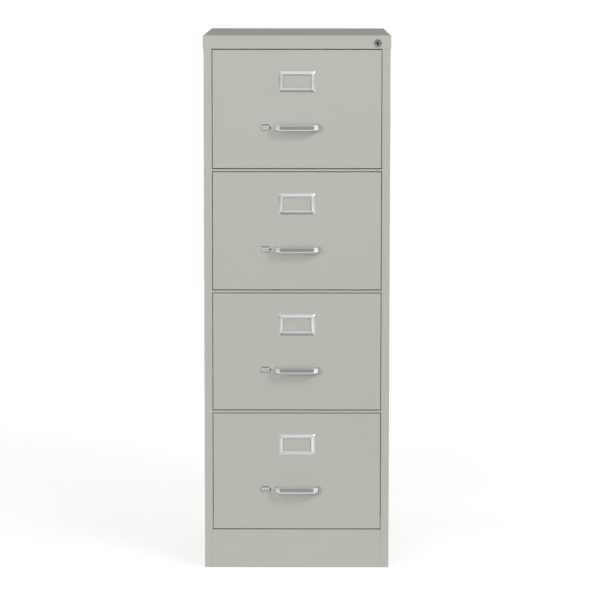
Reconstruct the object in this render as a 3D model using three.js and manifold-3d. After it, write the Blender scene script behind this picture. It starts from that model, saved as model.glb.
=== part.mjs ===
// A four-drawer vertical filing cabinet in sheet steel, sized for legal files.
// Units are millimetres, +Z is up and the drawers open towards -Y.
// The origin is on the floor, in the middle of the space the closed cabinet takes up, pulls included.
import * as THREE from "three";
import { ConvexGeometry } from "three/addons/geometries/ConvexGeometry.js";
import { mergeVertices } from "three/addons/utils/BufferGeometryUtils.js";
import Module from "manifold-3d";

const wasm = await Module();
wasm.setup();

// ---------------------------------------------------------------- driving dimensions

const seam = 0.3; // air between two pieces that are welded, screwed or laid against each other

// Case
const caseWidth = 457;
const caseDepth = 673;
const caseSheet = 1;
const bendRadius = 4;
const stileWidth = 20;
const stileReturn = 22;
const rearFlange = 16;
const floorFlange = 15;
const toeHeight = 95.8;
const toeShelf = 24;
const railHeight = 5.3;
const railDepth = 24;
const headerReveal = 0.8;
const capSheet = 1.2;
const capSkirt = 32.5;
const capRound = 2.5;
const capCorner = 4;
const beadWidth = 24;
const beadDepth = 3.5;
const beadSpread = 240; // between the middles of the back panel's two beads

// Uprights that carry the slides
const uprightWidth = 40;
const uprightLip = 10;
const uprightSheet = 1;
const uprightSetback = 31.3; // stile face to the front upright
const rearUprightGap = 40; // rear upright to the back of the case
const uprightHeadroom = 4;

// Drawers
const drawerCount = 4;
const frontHeight = 290;
const frontGap = 2; // above and below each drawer front
const sideGap = 1.5; // at each side of it
const frontSheet = 1;
const frontPan = 20; // depth of the hollow front
const tubSheet = 1;
const tubRise = 10;
const tubDrop = 28;
const tubRearClearance = 18;
const tubBackHeight = 200;
const hemHeight = 10;

// Telescopic slides
const slideSpace = 13; // drawer side to the edge of the opening
const slideRise = 60; // drawer front's lower edge to the middle of the slide
const slideSetback = 38;
const slideRearClearance = 28;
const memberSheet = 1.2;
const memberHeight = 45;
const memberLip = 3;
const memberClearance = 2; // cabinet member to the drawer side
const webGap = 1.6; // cabinet member's web to the runner's web
const ballDiameter = 3;
const endPlay = 2;
const crossGap = 2.5; // back of the drawer to the bar behind it that joins the runners
const crossFlange = 8;

// Pull
const pullWidth = 108;
const pullProjection = 35;
const pullHeight = 15;
const pullThickness = 5.5;
const pullBend = 11;
const pullEase = 1.6; // rounding of the bar's long edges
const pullRise = 100; // drawer front's lower edge to the middle of the pull
const studRadius = 2.5;
const studHead = 5;
const studHeadHeight = 2;

// Label holder
const labelWidth = 90;
const labelHeight = 53;
const labelWindowWidth = 69;
const labelWindowHeight = 31;
const labelDepth = 3.2;
const labelEdge = 0.6; // thickness at the outer edge
const labelRidge = 3; // flat ridge round the window
const labelCorner = 4;
const windowCorner = 1;
const labelDrop = 78; // drawer front's upper edge to the middle of the holder
const cardMargin = 4;
const cardPocket = 1;
const tabWidth = 1;
const tabHeight = 12;
const tabReach = 3; // beyond the back of the drawer front's sheet

// Thumb latch
const latchWidth = 26;
const latchHeight = 15.5;
const latchDepth = 5.5;
const latchBrim = 0.8; // height of the thumb piece before it starts to taper
const latchTaper = 3.6;
const latchCorner = 2;
const latchScoop = 0.8;
const latchScoopRadius = 14;
const latchGap = 10; // thumb piece to the end of the pull
const latchTravel = 6;
const stemWidth = 5;
const stemHeight = 7;
const stemEnd = 1; // stem beyond the bar
const latchBarHeight = 14;
const latchBarThickness = 2;
const latchBarSetback = 8; // drawer face to the bar behind it
const latchBarOverrun = 12; // bar beyond the stem
const latchTipGap = 0.6; // bar's tip to the outside of the drawer front's side
const keeperDepth = 5;

// Follower
const trackWidth = 24;
const trackHeight = 6;
const trackEndGap = 12;
const followerSideGap = 29.5; // plate to the inside of the drawer
const followerHeight = 190;
const followerSheet = 1.2;
const followerEdge = 4; // rolled edge round the plate
const followerSlack = 2; // plate's lower edge to the drawer's floor
const shoeLength = 70;
const shoeClearance = 0.5;
const braceRise = 150;

// Lock
const lockInset = 11.5; // edge of the opening to the middle of the lock
const lockRise = 13.5; // cap's lower edge to the middle of the lock
const bezelRadius = 10;
const bezelDepth = 2.7;
const barrelRadius = 8.6;
const barrelLength = 17;
const nutRadius = 9.8;
const nutThickness = 3;
const coreRadius = 6.5;
const coreRecess = 0.4;
const keywayWidth = 1.6;
const keywayHeight = 7;
const keywayDepth = 4;
const lockTurn = 60; // degrees, half of them below the level and half above
const crankRadius = 20;
const crankThickness = 3;
const crankPinRadius = 2;
const crankBack = 0.4; // header rail's flange to the crank
const lockBarWidth = 14;
const lockBarThickness = 3;
const lockBarInset = 5.5; // side of the case to the lock bar
const slotClearance = 0.5;
const slotWall = 2;
const lugThickness = 3;
const lugHeight = 12;
const lugReach = 8; // edge of the opening to the lug's tip
const lugEnd = 2; // lug to the outer edge of the lock bar
const rivetRadius = 1.6;
const rivetHead = 2.8;
const rivetHeadHeight = 1;
const rivetSpread = 6;
const catchHeight = 8;
const catchBehind = 3; // lug to the catch behind it, locked
const catchReach = 10;
const catchThickness = 2;
const catchFoot = 20;
const catchDrop = 40; // drawer side's upper edge to the catch
const guideSheet = 1.2;
const guideHeight = 16;
const guideRise = 3; // lifted lug to the guide above it
const guideClearance = 0.4;

// ---------------------------------------------------------------- derived places

const halfCase = caseWidth / 2;
const halfOpening = halfCase - stileWidth;
const halfFront = halfOpening - sideGap;
const halfTub = halfOpening - slideSpace;
const capOverhang = capSheet + seam;

const pitch = frontHeight + 2 * frontGap + railHeight;
const firstDrawerZ = toeHeight + frontGap;
const headerZ = firstDrawerZ + drawerCount * pitch - frontGap - railHeight;
const capZ = headerZ + headerReveal;
const caseHeight = capZ + capSkirt;
const panelTop = caseHeight - capSheet - seam;

const frontY = -(caseDepth + capOverhang - pullProjection) / 2;
const backY = frontY + caseDepth;
const backPanelY = backY - caseSheet - seam;

const tubY = frontY + frontPan + seam;
const tubBackY = backY - tubRearClearance;
const tubTop = frontHeight - tubDrop;
const tubFloor = tubRise + tubSheet;

const slideFrontY = frontY + slideSetback;
const slideBackY = backY - slideRearClearance;
const channelDepth = slideSpace - seam - memberClearance;
const channelHalf = memberHeight / 2;
const runnerHalf = channelHalf - memberSheet - seam - ballDiameter;
const drawerMemberHalf = runnerHalf - memberSheet - ballDiameter - seam;
const runnerWeb = memberSheet + webGap;
const crossY = tubBackY + crossGap;

const frontUprightY = frontY + uprightSetback;
const rearUprightY = backY - rearUprightGap - uprightWidth;

const pullPost = (pullWidth - pullThickness) / 2;
const latchX = -(pullWidth / 2 + latchGap + latchWidth / 2);
const labelZ = frontHeight - labelDrop;
const labelTabX = (labelWidth + labelWindowWidth) / 4;
const trackTop = tubFloor + trackHeight;
const followerY = tubBackY - trackEndGap - shoeLength;

const lockX = halfOpening - lockInset;
const lockZ = capZ + lockRise;
const halfTurn = THREE.MathUtils.degToRad(lockTurn / 2);
const crankReach = crankRadius * Math.cos(halfTurn);
const crankDrop = crankRadius * Math.sin(halfTurn);
const lockLift = 2 * crankDrop; // travel of the lock bar
const crankY = frontY + railDepth + crankBack;
const lockBarY = frontUprightY - seam - lockBarThickness;
const lockBarX = halfCase - lockBarInset;
const lockBarMiddle = lockBarX - lockBarWidth / 2;
const lugY = lockBarY - seam - lugThickness;
const catchY = lockBarY - seam + catchBehind;
const catchZ = tubTop - catchDrop - catchHeight;
const lugZ = catchZ - lockLift - (lugHeight - catchHeight) / 2; // lifted, the lug is level with the catch

const drawerZ = (number) => firstDrawerZ + (drawerCount - number) * pitch; // drawer 1 is the top one

// ---------------------------------------------------------------- finishes

const enamel = new THREE.MeshStandardMaterial({ color: 0xb9bab2, roughness: 0.5, metalness: 0 });
const zincPlate = new THREE.MeshStandardMaterial({ color: 0xb4b6ba, roughness: 0.35, metalness: 0.9 });
const chrome = new THREE.MeshStandardMaterial({ color: 0xd5d7da, roughness: 0.1, metalness: 1 });

// ---------------------------------------------------------------- solid tools

function solidOf(geometry) {
  geometry.deleteAttribute("normal");
  geometry.deleteAttribute("uv");
  const merged = mergeVertices(geometry, 1e-4);
  const vertProperties = merged.attributes.position.array;
  const triVerts = Uint32Array.from(merged.index.array);
  return new wasm.Manifold(new wasm.Mesh({ numProp: 3, vertProperties, triVerts }));
}

function geometryOf(solid) {
  const { vertProperties, triVerts } = solid.getMesh();
  const indexed = new THREE.BufferGeometry();
  indexed.setAttribute("position", new THREE.BufferAttribute(vertProperties, 3));
  indexed.setIndex(new THREE.BufferAttribute(triVerts, 1));
  const faceted = indexed.toNonIndexed();
  faceted.computeVertexNormals();
  return faceted;
}

const join = (first, ...others) => others.reduce((whole, piece) => whole.add(piece), first);
const cut = (first, ...others) => others.reduce((whole, piece) => whole.subtract(piece), first);

// A box between two values on each axis, given in either order.
function block([x0, x1], [y0, y1], [z0, z1]) {
  const box = new THREE.BoxGeometry(Math.abs(x1 - x0), Math.abs(y1 - y0), Math.abs(z1 - z0));
  return solidOf(box.translate((x0 + x1) / 2, (y0 + y1) / 2, (z0 + z1) / 2));
}

function extruded(points, depth) {
  const shape = new THREE.Shape(points.map(([u, v]) => new THREE.Vector2(u, v)));
  return new THREE.ExtrudeGeometry(shape, { depth, bevelEnabled: false });
}

// An outline in (x, y), raised along Z.
function prismZ(points, z0, z1) {
  return solidOf(extruded(points, z1 - z0).translate(0, 0, z0));
}

// An outline in (x, z), run along Y. Turning (z, x, y) into place keeps the faces outwards.
function prismY(points, y0, y1) {
  const turn = new THREE.Matrix4().set(0, 1, 0, 0, 0, 0, 1, y0, 1, 0, 0, 0, 0, 0, 0, 1);
  return solidOf(extruded(points.map(([x, z]) => [z, x]), y1 - y0).applyMatrix4(turn));
}

// An outline in (y, z), run along X.
function prismX(points, x0, x1) {
  const turn = new THREE.Matrix4().set(0, 0, 1, x0, 1, 0, 0, 0, 0, 1, 0, 0, 0, 0, 0, 1);
  return solidOf(extruded(points, x1 - x0).applyMatrix4(turn));
}

function rodY(radius, x, z, y0, y1, sides = 24) {
  const rod = new THREE.CylinderGeometry(radius, radius, y1 - y0, sides);
  return solidOf(rod.translate(x, (y0 + y1) / 2, z));
}

// A section of bent sheet: the path is one face of it and the other lies to the path's left.
function bentSheet(path, thickness) {
  const face = path.map(([u, v]) => new THREE.Vector2(u, v));
  const normals = face.slice(1).map((point, i) => {
    const along = point.clone().sub(face[i]).normalize();
    return new THREE.Vector2(-along.y, along.x);
  });
  const other = face.map((point, i) => {
    const before = normals[Math.max(i - 1, 0)];
    const after = normals[Math.min(i, normals.length - 1)];
    const mitre = before.clone().add(after);
    return point.clone().addScaledVector(mitre, (2 * thickness) / mitre.lengthSq());
  });
  return [...face, ...other.reverse()].map(({ x, y }) => [x, y]);
}

// The points of a quarter-turn bend at a corner between two directions.
function bend([u, v], [inU, inV], [outU, outV], radius, steps = 3) {
  const points = [];
  for (let i = 0; i <= steps; i += 1) {
    const angle = (i / steps) * (Math.PI / 2);
    const back = radius * (1 - Math.sin(angle));
    const ahead = radius * (1 - Math.cos(angle));
    points.push([u - back * inU + ahead * outU, v - back * inV + ahead * outV]);
  }
  return points;
}

function roundedRectangle(width, height, radius, steps = 3) {
  const u = width / 2;
  const v = height / 2;
  const corners = [
    [[u, -v], [1, 0], [0, 1]],
    [[u, v], [0, 1], [-1, 0]],
    [[-u, v], [-1, 0], [0, -1]],
    [[-u, -v], [0, -1], [1, 0]],
  ];
  return corners.flatMap(([corner, before, after]) => bend(corner, before, after, radius, steps));
}

// An outline raised along Z with its edges rounded, inside the size given.
function eased(points, depth, radius, steps) {
  const shape = new THREE.Shape(points.map(([u, v]) => new THREE.Vector2(u, v)));
  const options = {
    depth: depth - 2 * radius,
    bevelEnabled: true,
    bevelThickness: radius,
    bevelSize: radius,
    bevelOffset: -radius,
    bevelSegments: steps,
  };
  return new THREE.ExtrudeGeometry(shape, options).translate(0, 0, radius);
}

// The convex solid round some outlines, each given with its height above the drawer's face.
function mound(layers, x, y, z) {
  const points = layers.flatMap(([outline, height]) =>
    outline.map(([u, v]) => new THREE.Vector3(x + u, y - height, z + v)));
  return solidOf(new ConvexGeometry(points));
}

const mirrored = (points, side) => points.map(([x, y]) => [side * x, y]);
const acrossCase = (half) => [-half, half];

function addMesh(group, name, solid, material) {
  const mesh = new THREE.Mesh(geometryOf(solid), material);
  mesh.name = name;
  group.add(mesh);
}

// ---------------------------------------------------------------- case

// One side of the case, bent from one sheet: rear flange, web, front stile and its return.
function sidePanel(side) {
  const path = [
    [halfCase - rearFlange, backY],
    [halfCase, backY],
    ...bend([halfCase, frontY], [0, -1], [-1, 0], bendRadius),
    [halfOpening, frontY],
    [halfOpening, frontY + stileReturn],
  ];
  const sheet = prismZ(mirrored(bentSheet(path, -caseSheet), side), 0, panelTop);
  const floor = [side * (halfCase - floorFlange), side * (halfCase - caseSheet / 2)];
  return join(sheet, block(floor, [frontY + bendRadius, backPanelY - caseSheet - seam], [0, caseSheet]));
}

// The left stile has one slot behind each thumb latch.
function latchKeepers() {
  const slots = [];
  for (let number = 1; number <= drawerCount; number += 1) {
    const z = drawerZ(number) + pullRise;
    const y = frontY + latchBarSetback - latchBarThickness;
    const halfHeight = latchBarHeight / 2 + 1;
    slots.push(block(
      [-halfOpening - 2 * caseSheet, -halfOpening + caseSheet],
      [y, y + keeperDepth + latchBarThickness],
      [z - halfHeight, z + halfHeight],
    ));
  }
  return slots;
}

function backPanel() {
  const half = halfCase - caseSheet - seam;
  const bead = (middle) => [
    [middle + beadWidth / 2, backPanelY],
    [middle + beadWidth / 4, backPanelY - beadDepth],
    [middle - beadWidth / 4, backPanelY - beadDepth],
    [middle - beadWidth / 2, backPanelY],
  ];
  const path = [[half, backPanelY], ...bead(beadSpread / 2), ...bead(-beadSpread / 2), [-half, backPanelY]];
  const sheet = prismZ(bentSheet(path, caseSheet), 0, panelTop);
  const floor = block(
    acrossCase(halfCase - floorFlange - seam),
    [backPanelY - floorFlange, backPanelY],
    [0, caseSheet],
  );
  return join(sheet, floor);
}

// The lid: a shallow pan turned upside down over the case, with a hole for the lock.
function topCap() {
  const half = halfCase + capOverhang;
  const depth = caseDepth + 2 * capOverhang;
  const height = capSkirt + capRound;
  const outline = roundedRectangle(2 * half, depth, capCorner);
  const middle = frontY + caseDepth / 2;
  const outside = solidOf(eased(outline, height, capRound, 3).translate(0, middle, caseHeight - height));
  const below = block(acrossCase(caseWidth), [frontY - depth, backY + depth], [0, capZ]);
  const inside = block(
    acrossCase(halfCase + seam),
    [frontY - seam, backY + seam],
    [capZ - capRound, caseHeight - capSheet],
  );
  return cut(outside, below, inside, lockHole(frontY - 2 * capOverhang, frontY));
}

const lockHole = (y0, y1) => rodY(barrelRadius + seam, lockX, lockZ, y0, y1);

// The rail behind the cap's skirt: it closes the front of the case and holds the lock.
function headerRail() {
  const path = [
    [frontY + railDepth, headerZ],
    [frontY, headerZ],
    [frontY, panelTop],
    [frontY + railDepth / 2, panelTop],
  ];
  const rail = prismX(bentSheet(path, -caseSheet), -halfOpening + seam, halfOpening - seam);
  return cut(rail, lockHole(frontY - caseSheet, frontY + 2 * caseSheet));
}

function dividerRail() {
  const path = [
    [frontY + railDepth, 0],
    [frontY, 0],
    [frontY, railHeight],
    [frontY + railDepth, railHeight],
  ];
  return prismX(bentSheet(path, -caseSheet), -halfOpening + seam, halfOpening - seam);
}

function toePanel() {
  const path = [
    [frontY + floorFlange, 0],
    [frontY, 0],
    [frontY, toeHeight],
    [frontY + toeShelf, toeHeight],
  ];
  return prismX(bentSheet(path, -caseSheet), -halfOpening + seam, halfOpening - seam);
}

// A hat section welded to the inside of the case; the slides hang on its crown.
function upright(side, y) {
  const wall = halfCase - caseSheet - seam;
  const crown = halfOpening + uprightSheet;
  const near = y + uprightSheet;
  const far = y + uprightWidth - uprightSheet;
  const path = [
    [wall, near - uprightLip],
    [wall, near],
    [crown, near],
    [crown, far],
    [wall, far],
    [wall, far + uprightLip],
  ];
  const section = mirrored(bentSheet(path, uprightSheet), side);
  return prismZ(section, caseSheet + seam, headerZ - uprightHeadroom);
}

// Hooks on the right front upright that the lock bar slides in.
function lockBarGuides() {
  const outer = lockBarX + guideClearance;
  const front = lockBarY - guideClearance;
  const path = [
    [outer, frontUprightY + uprightSheet],
    [outer, front],
    [lockBarMiddle, front],
  ];
  const section = bentSheet(path, guideSheet);
  const guides = [];
  for (let number = 1; number <= drawerCount; number += 1) {
    const z = drawerZ(number) + lugZ + lugHeight + lockLift + guideRise;
    guides.push(prismZ(section, z, z + guideHeight));
  }
  return guides;
}

// ---------------------------------------------------------------- slides

// Slide sections are drawn in (u, v): u runs from the edge of the opening towards the drawer.
function slideSection(points, side) {
  return points.map(([u, v]) => [side * (halfOpening - seam - u), v]);
}

function channelPath(web, edge, half) {
  return [
    [edge, half - memberLip],
    [edge, half],
    [web, half],
    [web, -half],
    [edge, -half],
    [edge, -half + memberLip],
  ];
}

function cabinetMember(side) {
  const section = bentSheet(channelPath(0, channelDepth, channelHalf), memberSheet);
  return prismY(slideSection(section, side), slideFrontY, slideBackY);
}

// One side's middle member, with its rows of balls drawn as a continuous bead above and below each flange.
function runner(side) {
  const edge = channelDepth - memberSheet / 2;
  const y0 = slideFrontY + endPlay;
  const y1 = crossY + crossFlange;
  const section = bentSheet(channelPath(runnerWeb, edge, runnerHalf), memberSheet);
  const middle = (runnerWeb + edge) / 2;
  const bead = (root, tip) => [
    [middle - ballDiameter / 2, root],
    [middle - ballDiameter / 4, tip],
    [middle + ballDiameter / 4, tip],
    [middle + ballDiameter / 2, root],
  ];
  const flange = runnerHalf - memberSheet / 2;
  const rows = [1, -1].flatMap((up) => [
    bead(up * flange, up * (runnerHalf + ballDiameter)),
    bead(up * flange, up * (runnerHalf - memberSheet - ballDiameter)),
  ]);
  const parts = [section, ...rows].map((points) => prismY(slideSection(points, side), y0, y1));
  return join(...parts);
}

// The middle members of both sides are joined by a folded bar behind the drawer.
function slideCradle() {
  const half = halfOpening - seam - runnerWeb - memberSheet / 2;
  const height = runnerHalf - memberSheet / 2;
  const path = [
    [crossY + crossFlange, -height],
    [crossY, -height],
    [crossY, height],
    [crossY + crossFlange, height],
  ];
  const cross = prismX(bentSheet(path, -memberSheet), -half, half);
  return join(runner(-1), runner(1), cross);
}

// The inner member is welded to the drawer's side.
function drawerMember(side) {
  const root = slideSpace - seam;
  const edge = runnerWeb + memberSheet + webGap / 2;
  const path = [
    [edge, -drawerMemberHalf],
    [root, -drawerMemberHalf],
    [root, drawerMemberHalf],
    [edge, drawerMemberHalf],
  ];
  const section = bentSheet(path, memberSheet).map(([u, v]) => [u, v + slideRise]);
  return prismY(slideSection(section, side), slideFrontY, slideBackY - endPlay);
}

// ---------------------------------------------------------------- drawer, from its front's lower edge up

// The front is a folded pan closed by an inner panel. It has holes for what is fixed to it,
// a slot for the latch's stem and one in its left side for the latch bar.
function drawerFront() {
  const shell = block(acrossCase(halfFront), [frontY, frontY + frontPan], [0, frontHeight]);
  const hollow = block(
    acrossCase(halfFront - frontSheet),
    [frontY + frontSheet, frontY + frontPan - frontSheet],
    [frontSheet, frontHeight - frontSheet],
  );
  const face = [frontY - frontSheet, frontY + 2 * frontSheet];
  const studs = [-pullPost, pullPost].map((x) => rodY(studRadius + seam, x, pullRise, ...face, 16));
  const tabs = [-1, 1].map((side) => {
    const x = side * labelTabX;
    const half = tabWidth / 2 + seam;
    const halfSlot = tabHeight / 2 + seam;
    return block([x - half, x + half], face, [labelZ - halfSlot, labelZ + halfSlot]);
  });
  const stem = block(
    [latchX - stemWidth / 2 - seam, latchX + stemWidth / 2 + latchTravel + seam],
    face,
    [pullRise - stemHeight / 2 - seam, pullRise + stemHeight / 2 + seam],
  );
  const barHalf = latchBarHeight / 2 + seam;
  const barY = frontY + latchBarSetback;
  const bar = block(
    [-halfFront - frontSheet, -halfFront + 2 * frontSheet],
    [barY - seam, barY + latchBarThickness + seam],
    [pullRise - barHalf, pullRise + barHalf],
  );
  return cut(shell, hollow, ...studs, ...tabs, stem, bar);
}

// The drawer's body: floor, sides with hemmed upper edges, low back, the follower's track and
// the slides' inner members. The drawer front closes it.
function drawerTub() {
  const outside = block(acrossCase(halfTub), [tubY, tubBackY], [tubRise, tubTop]);
  const inside = block(
    acrossCase(halfTub - tubSheet),
    [tubY - tubSheet, tubBackY - tubSheet],
    [tubFloor, tubTop + tubSheet],
  );
  const lowBack = block(
    acrossCase(halfTub - tubSheet),
    [tubBackY - 2 * tubSheet, tubBackY + tubSheet],
    [tubRise + tubBackHeight, tubTop + tubSheet],
  );
  const hems = [-1, 1].map((side) => block(
    [side * halfTub, side * (halfTub - 2 * tubSheet)],
    [tubY, tubBackY],
    [tubTop - hemHeight, tubTop],
  ));
  const trackY = [tubY + trackEndGap, tubBackY - trackEndGap];
  const track = block(acrossCase(trackWidth / 2), trackY, [tubRise, trackTop]);
  const trackHollow = block(
    acrossCase(trackWidth / 2 - tubSheet),
    trackY,
    [tubRise - tubSheet, trackTop - tubSheet],
  );
  const members = [-1, 1].map(drawerMember);
  const tub = join(cut(outside, inside, lowBack), ...hems, track, ...members);
  return cut(tub, trackHollow);
}

// A bracket on the drawer's right side. The lug rises in front of it.
function lockCatch() {
  const side = halfTub + seam;
  const z = [catchZ, catchZ + catchHeight];
  const stop = block([side, side + catchReach], [catchY, catchY + catchThickness], z);
  const foot = block([side, side + catchThickness], [catchY, catchY + catchFoot], z);
  return join(stop, foot);
}

// A bow pull bent from flat bar, with a stud and its screw head behind the drawer front at each end.
function pull() {
  const half = pullWidth / 2;
  const outer = bend([-half, -pullProjection], [0, -1], [1, 0], pullBend, 6);
  const innerCorner = [-half + pullThickness, -pullProjection + pullThickness];
  const inner = bend(innerCorner, [0, -1], [1, 0], pullBend - pullThickness, 6);
  const leftHalf = [[-half, -seam], ...outer];
  const leftInside = [...inner.toReversed(), [-half + pullThickness, -seam]];
  const across = (points) => points.map(([x, y]) => [-x, y]).reverse();
  const outline = [...leftHalf, ...across(leftHalf), ...across(leftInside), ...leftInside];
  const bow = eased(outline, pullHeight, pullEase, 2).translate(0, frontY, pullRise - pullHeight / 2);
  const headY = frontY + frontSheet + seam;
  const studs = [-pullPost, pullPost].flatMap((x) => [
    rodY(studRadius, x, pullRise, frontY - studRadius, headY + studHeadHeight / 2, 16),
    rodY(studHead, x, pullRise, headY, headY + studHeadHeight, 16),
  ]);
  return join(solidOf(bow), ...studs);
}

// A pressed frame that slopes up to a ridge round its window, hollow behind for the card,
// with a tab at each end.
function labelHolder() {
  const face = frontY - seam;
  const outline = roundedRectangle(labelWidth, labelHeight, labelCorner);
  const ridge = 2 * labelRidge;
  const crest = roundedRectangle(labelWindowWidth + ridge, labelWindowHeight + ridge, windowCorner);
  const frame = mound([[outline, 0], [outline, labelEdge], [crest, labelDepth]], 0, face, labelZ);
  const window = roundedRectangle(labelWindowWidth, labelWindowHeight, windowCorner)
    .map(([x, z]) => [x, z + labelZ]);
  const pocket = block(
    acrossCase(labelWindowWidth / 2 + cardMargin),
    [face - cardPocket, frontY],
    [labelZ - labelWindowHeight / 2 - cardMargin, labelZ + labelWindowHeight / 2 + cardMargin],
  );
  const tabs = [-1, 1].map((side) => {
    const x = side * labelTabX;
    return block(
      [x - tabWidth / 2, x + tabWidth / 2],
      [face - labelEdge, frontY + frontSheet + tabReach],
      [labelZ - tabHeight / 2, labelZ + tabHeight / 2],
    );
  });
  return join(cut(frame, pocket, prismY(window, face - 2 * labelDepth, frontY)), ...tabs);
}

// The latch: a tapered thumb piece with a shallow scoop slides along the drawer front. Its stem
// passes through the front and carries a bar that reaches to the front's left side.
function thumbLatch() {
  const face = frontY - seam;
  const foot = roundedRectangle(latchWidth, latchHeight, latchCorner);
  const narrower = 2 * latchTaper;
  const top = roundedRectangle(latchWidth - narrower, latchHeight - narrower, latchCorner / 2);
  const cap = mound([[foot, 0], [foot, latchBrim], [top, latchDepth]], latchX, face, pullRise);
  const scoopY = face - latchDepth + latchScoop - latchScoopRadius;
  const scoop = new THREE.CylinderGeometry(latchScoopRadius, latchScoopRadius, 2 * latchHeight, 48);
  const hollow = solidOf(scoop.rotateX(Math.PI / 2).translate(latchX, scoopY, pullRise));
  const barY = frontY + latchBarSetback;
  const stem = block(
    [latchX - stemWidth / 2, latchX + stemWidth / 2],
    [face - latchBrim, barY + latchBarThickness + stemEnd],
    [pullRise - stemHeight / 2, pullRise + stemHeight / 2],
  );
  const bar = block(
    [-halfFront + latchTipGap, latchX + stemWidth / 2 + latchBarOverrun],
    [barY, barY + latchBarThickness],
    [pullRise - latchBarHeight / 2, pullRise + latchBarHeight / 2],
  );
  return join(cut(cap, hollow), stem, bar);
}

// The follower holds files upright: a plate with rolled edges, braced from a shoe that straddles
// the drawer's track.
function follower() {
  const low = tubFloor + followerSlack;
  const top = low + followerHeight;
  const half = halfTub - tubSheet - followerSideGap;
  const rear = followerY + followerEdge;
  const section = [[-half, rear], [-half, followerY], [half, followerY], [half, rear]];
  const plate = prismZ(bentSheet(section, followerSheet), low, top);
  const topEdge = block(acrossCase(half), [followerY, rear], [top - followerSheet, top]);
  const shoeHalf = trackWidth / 2 + shoeClearance;
  const shoeFloor = trackTop + seam;
  const shoe = block(
    acrossCase(shoeHalf + followerSheet),
    [followerY, followerY + shoeLength],
    [tubFloor + shoeClearance, shoeFloor + followerSheet],
  );
  const brace = prismX(
    [
      [followerY, shoeFloor],
      [followerY + shoeLength, shoeFloor],
      [rear, shoeFloor + braceRise],
      [followerY, shoeFloor + braceRise],
    ],
    -followerSheet,
    followerSheet,
  );
  const passage = block(
    acrossCase(shoeHalf),
    [followerY - followerSheet, followerY + 2 * shoeLength],
    [tubRise, shoeFloor],
  );
  return cut(join(plate, topEdge, shoe, brace), passage);
}

// ---------------------------------------------------------------- lock

function lockHousing() {
  const face = frontY - capOverhang - seam;
  const bezel = rodY(bezelRadius, lockX, lockZ, face - bezelDepth, face, 32);
  const barrel = rodY(barrelRadius, lockX, lockZ, face - 1, frontY + barrelLength, 32);
  const nutY = frontY + caseSheet + seam;
  const nut = rodY(nutRadius, lockX, lockZ, nutY, nutY + nutThickness, 6);
  const bore = rodY(coreRadius + seam, lockX, lockZ, face - 2 * bezelDepth, frontY + 2 * barrelLength, 32);
  return cut(join(bezel, barrel, nut), bore);
}

// The core turns a crank whose pin lifts the lock bar.
function lockPlug() {
  const face = frontY - capOverhang - seam - bezelDepth + coreRecess;
  const pinX = lockX + crankReach;
  const pinZ = lockZ - crankDrop;
  const armX = crankPinRadius * Math.sin(halfTurn);
  const armZ = crankPinRadius * Math.cos(halfTurn);
  const crankEnd = crankY + crankThickness;
  const core = rodY(coreRadius, lockX, lockZ, face, crankY + 1, 32);
  const hub = rodY(coreRadius, lockX, lockZ, crankY, crankEnd, 32);
  const link = prismY(
    [
      [lockX + armX, lockZ + armZ],
      [lockX - armX, lockZ - armZ],
      [pinX - armX, pinZ - armZ],
      [pinX + armX, pinZ + armZ],
    ],
    crankY,
    crankEnd,
  );
  const pin = rodY(crankPinRadius, pinX, pinZ, crankY, lockBarY + lockBarThickness + 1, 16);
  const keyway = block(
    [lockX - keywayWidth / 2, lockX + keywayWidth / 2],
    [face - 1, face + keywayDepth],
    [lockZ - keywayHeight / 2, lockZ + keywayHeight / 2],
  );
  return cut(join(core, hub, link, pin), keyway);
}

const rivetX = [lockBarMiddle - rivetSpread / 2, lockBarMiddle + rivetSpread / 2];

// The flat bar that locks all drawers, with a level slot for the crank pin and holes for the lugs' rivets.
function lockBar() {
  const slotHalf = crankPinRadius + slotClearance;
  const slotZ = lockZ - crankDrop;
  const top = slotZ + slotHalf + slotWall;
  const bottom = drawerZ(drawerCount) + lugZ - lugHeight;
  const y = [lockBarY, lockBarY + lockBarThickness];
  const through = [lockBarY - 1, lockBarY + lockBarThickness + 1];
  const bar = block([lockBarX - lockBarWidth, lockBarX], y, [bottom, top]);
  const slot = block(
    [lockX + crankReach - slotHalf, lockX + crankRadius + slotHalf],
    through,
    [slotZ - slotHalf, slotZ + slotHalf],
  );
  const holes = [];
  for (let number = 1; number <= drawerCount; number += 1) {
    const z = drawerZ(number) + lugZ + lugHeight / 2;
    holes.push(...rivetX.map((x) => rodY(rivetRadius + seam / 2, x, z, ...through, 12)));
  }
  return cut(bar, slot, ...holes);
}

// A flat lug riveted to the front of the lock bar, one for each drawer.
function lockLug() {
  const x = [halfOpening - lugReach, lockBarX - lugEnd];
  const lug = block(x, [lugY, lugY + lugThickness], [lugZ, lugZ + lugHeight]);
  const z = lugZ + lugHeight / 2;
  const rivets = rivetX.flatMap((middle) => [
    rodY(rivetHead, middle, z, lugY - rivetHeadHeight, lugY + 1, 12),
    rodY(rivetRadius, middle, z, lugY, lockBarY + lockBarThickness, 12),
  ]);
  return join(lug, ...rivets);
}

// ---------------------------------------------------------------- assembly

const cabinet = new THREE.Group();

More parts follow.
